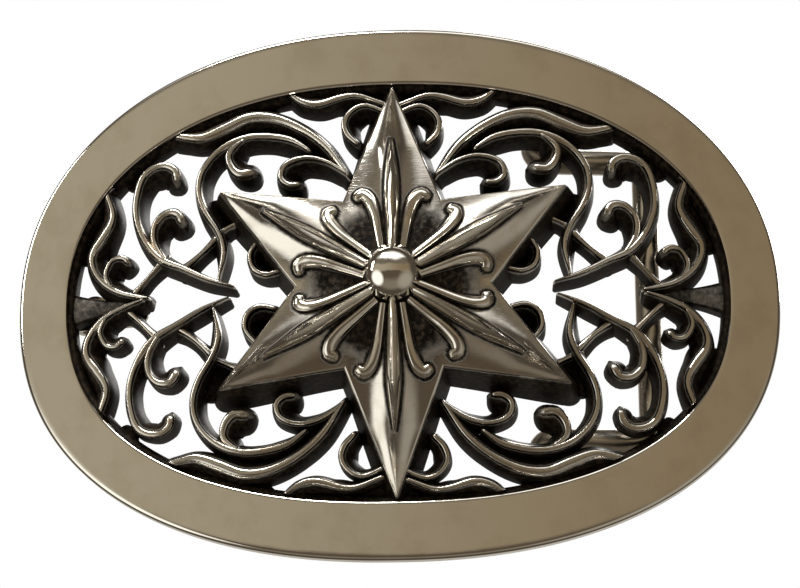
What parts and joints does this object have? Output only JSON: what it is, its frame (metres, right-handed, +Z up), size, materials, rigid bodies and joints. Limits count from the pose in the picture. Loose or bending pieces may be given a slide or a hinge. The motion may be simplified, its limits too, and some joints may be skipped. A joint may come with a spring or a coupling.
{
  "type": "belt buckle",
  "caption": "Curved oval openwork belt buckle with a raised six-ray star among scrolls, a hinged wire belt loop and a fixed hook post on its back.",
  "frame": {"origin": "middle of the whole buckle's box, hook and boss included", "axes": "+X to the right seen from the front, towards the belt loop; +Y backwards into the belt; +Z up as worn"},
  "size_m": [0.11, 0.0312, 0.076],
  "materials": {
    "rim_silver": "polished silver with fine wear",
    "oxidised_silver": "oxidised dark in the recesses, polished on the crests",
    "star_silver": "polished, darkened in the creases",
    "rib_silver": "polished",
    "boss_silver": "mirror polished",
    "wire_silver": "polished round wire",
    "back_silver": "filed and lightly polished"
  },
  "bodies": {
    "buckle": {"rim": "rim_silver", "gallery": "oxidised_silver", "star_shell": "star_silver", "ray_ribs": "rib_silver", "boss": "boss_silver", "end_fan_left": "oxidised_silver", "end_fan_right": "oxidised_silver", "tie_rods": "oxidised_silver", "crown_leaf_upper_right": "oxidised_silver", "crown_leaf_upper_left": "oxidised_silver", "crown_leaf_lower_right": "oxidised_silver", "crown_leaf_lower_left": "oxidised_silver", "long_scroll_upper_right": "oxidised_silver", "long_scroll_upper_left": "oxidised_silver", "long_scroll_lower_right": "oxidised_silver", "long_scroll_lower_left": "oxidised_silver", "notch_curl_upper_right": "oxidised_silver", "notch_curl_upper_left": "oxidised_silver", "notch_curl_lower_right": "oxidised_silver", "notch_curl_lower_left": "oxidised_silver", "ray_curl_upper_right": "oxidised_silver", "ray_curl_upper_left": "oxidised_silver", "ray_curl_lower_right": "oxidised_silver", "ray_curl_lower_left": "oxidised_silver", "rim_leaf_upper_right": "oxidised_silver", "rim_leaf_upper_left": "oxidised_silver", "rim_leaf_lower_right": "oxidised_silver", "rim_leaf_lower_left": "oxidised_silver", "hook_scroll_upper_right": "oxidised_silver", "hook_scroll_upper_left": "oxidised_silver", "hook_scroll_lower_right": "oxidised_silver", "hook_scroll_lower_left": "oxidised_silver", "end_leaf_upper_right": "oxidised_silver", "end_leaf_upper_left": "oxidised_silver", "end_leaf_lower_right": "oxidised_silver", "end_leaf_lower_left": "oxidised_silver", "end_curl_upper_right": "oxidised_silver", "end_curl_upper_left": "oxidised_silver", "end_curl_lower_right": "oxidised_silver", "end_curl_lower_left": "oxidised_silver", "side_curl_upper_right": "oxidised_silver", "side_curl_upper_left": "oxidised_silver", "side_curl_lower_right": "oxidised_silver", "side_curl_lower_left": "oxidised_silver", "lug_upper": "back_silver", "lug_lower": "back_silver", "hook_foot": "back_silver", "hook_post": "back_silver"},
    "loop": {"belt_loop": "wire_silver"}
  },
  "joints": [
    {"name": "loop_hinge", "type": "hinge", "parent": "buckle", "child": "loop", "pos_m": [0.02, 0.00349, 0], "axis": [0, 0, 1], "range_deg": [0, 160]}
  ]
}
